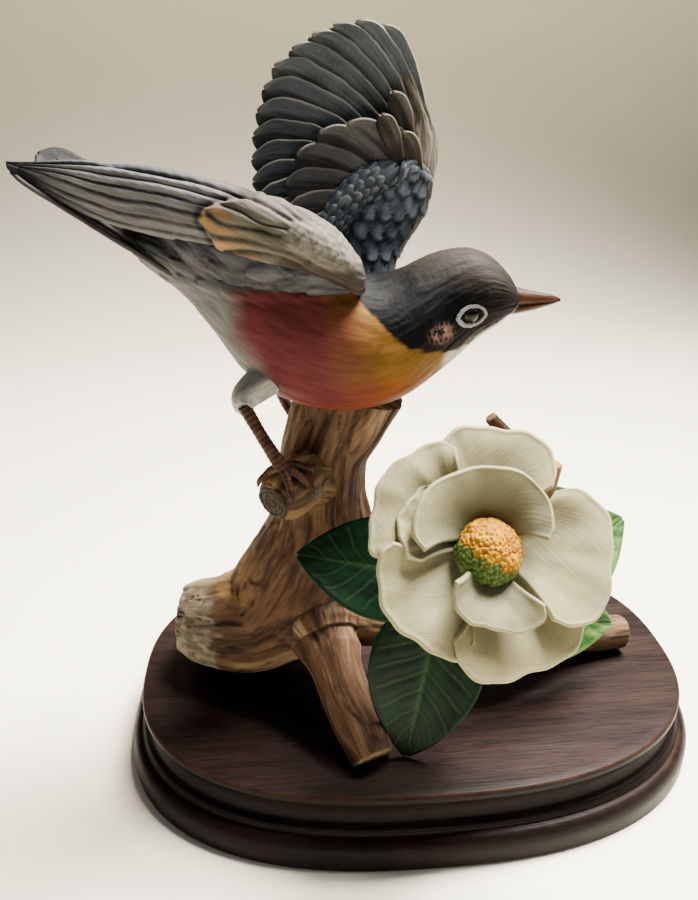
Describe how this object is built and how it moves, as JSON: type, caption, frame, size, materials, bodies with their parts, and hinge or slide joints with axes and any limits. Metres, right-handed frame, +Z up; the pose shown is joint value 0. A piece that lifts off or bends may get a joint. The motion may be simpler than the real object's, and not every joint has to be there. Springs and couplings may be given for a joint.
{
  "type": "bird figurine on wooden base",
  "caption": "Bisque porcelain robin with one raised wing, landing on a stump beside an open magnolia, standing on an oval moulded wooden base.",
  "frame": {"origin": "middle of the wooden base's flat underside", "axes": "+X along the base's long side, towards the robin's beak and the flower; +Y away from the side the figurine is looked at from; +Z up"},
  "size_m": [0.2201, 0.1493, 0.2438],
  "materials": {
    "porcelain": "matte hand-painted bisque: slate and taupe feathers, red to ochre breast, brown stump, green leaves, cream petals",
    "base_wood": "dark walnut stain under satin varnish, reddish brown where light rakes the top"
  },
  "bodies": {
    "root": {"porcelain_robin_group": "porcelain", "wooden_base": "base_wood"}
  },
  "joints": []
}
